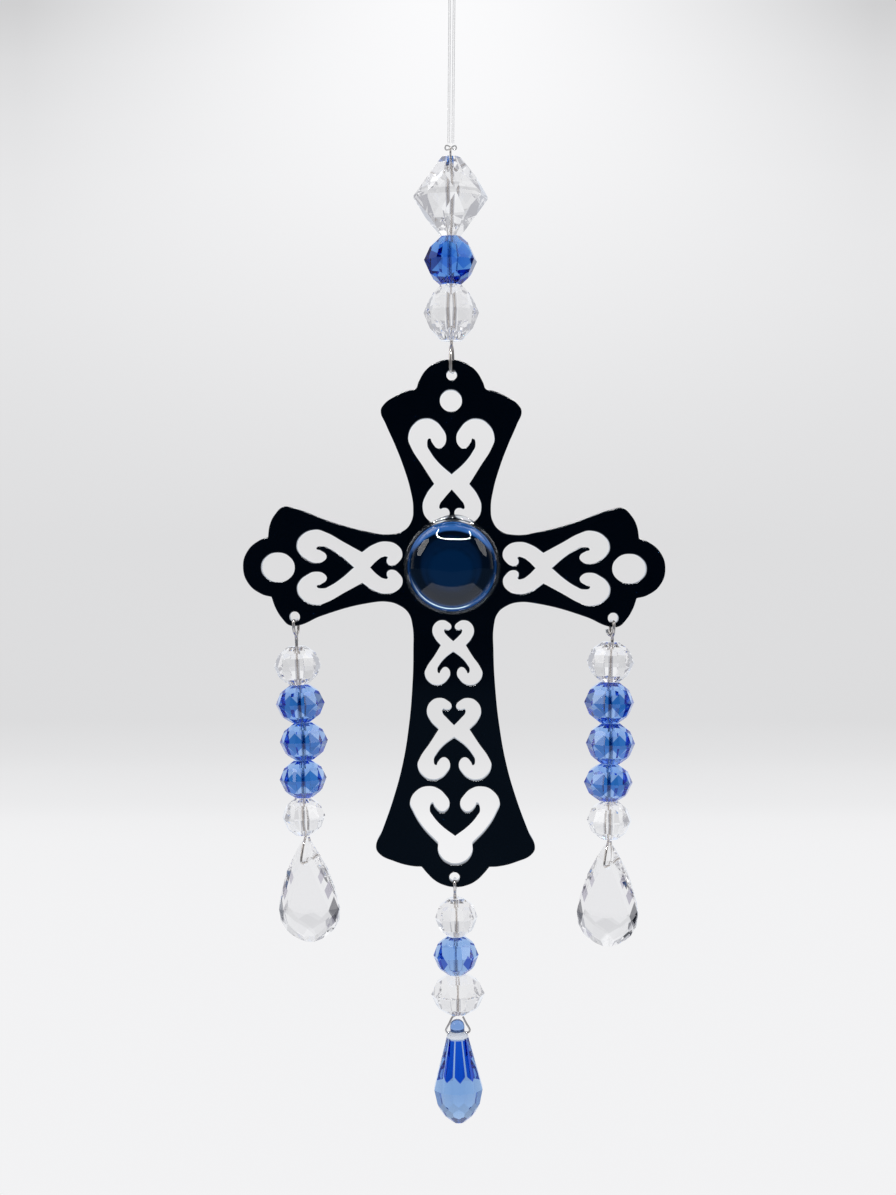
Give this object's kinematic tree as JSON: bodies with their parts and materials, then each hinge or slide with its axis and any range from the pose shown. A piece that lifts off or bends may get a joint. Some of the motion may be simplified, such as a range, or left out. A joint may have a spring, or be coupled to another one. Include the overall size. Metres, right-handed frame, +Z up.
{
  "type": "beaded cross ornament",
  "caption": "Flat pierced cross with a domed glass gem, hung on a clear thread, with strings of faceted glass beads and drops at its arms and foot.",
  "frame": {"origin": "where the thread loop hangs on its hook, on the loop's centre line", "axes": "+Z up along the hanging thread, +X to the right of the cross seen from the front, the front faces -Y"},
  "size_m": [0.0842, 0.0148, 0.2393],
  "materials": {
    "gloss_black": "gloss",
    "gem_glass": "polished",
    "clear_glass": "polished",
    "blue_glass": "polished",
    "steel_wire": "bright",
    "nylon_thread": "clear"
  },
  "bodies": {
    "root": {"cross_plate": "gloss_black", "centre_gem": "gem_glass", "hanging_thread": "nylon_thread", "thread_knot": "nylon_thread", "top_wire": "steel_wire", "top_clear_bead": "clear_glass", "top_blue_bead": "blue_glass", "top_bicone_bead": "clear_glass", "left_wire": "steel_wire", "left_clear_bead_1": "clear_glass", "left_blue_bead_1": "blue_glass", "left_blue_bead_2": "blue_glass", "left_blue_bead_3": "blue_glass", "left_clear_bead_2": "clear_glass", "left_drop": "clear_glass", "right_wire": "steel_wire", "right_clear_bead_1": "clear_glass", "right_blue_bead_1": "blue_glass", "right_blue_bead_2": "blue_glass", "right_blue_bead_3": "blue_glass", "right_clear_bead_2": "clear_glass", "right_drop": "clear_glass", "foot_wire": "steel_wire", "foot_clear_bead_1": "clear_glass", "foot_blue_bead": "blue_glass", "foot_clear_bead_2": "clear_glass", "blue_drop": "blue_glass"}
  },
  "joints": []
}
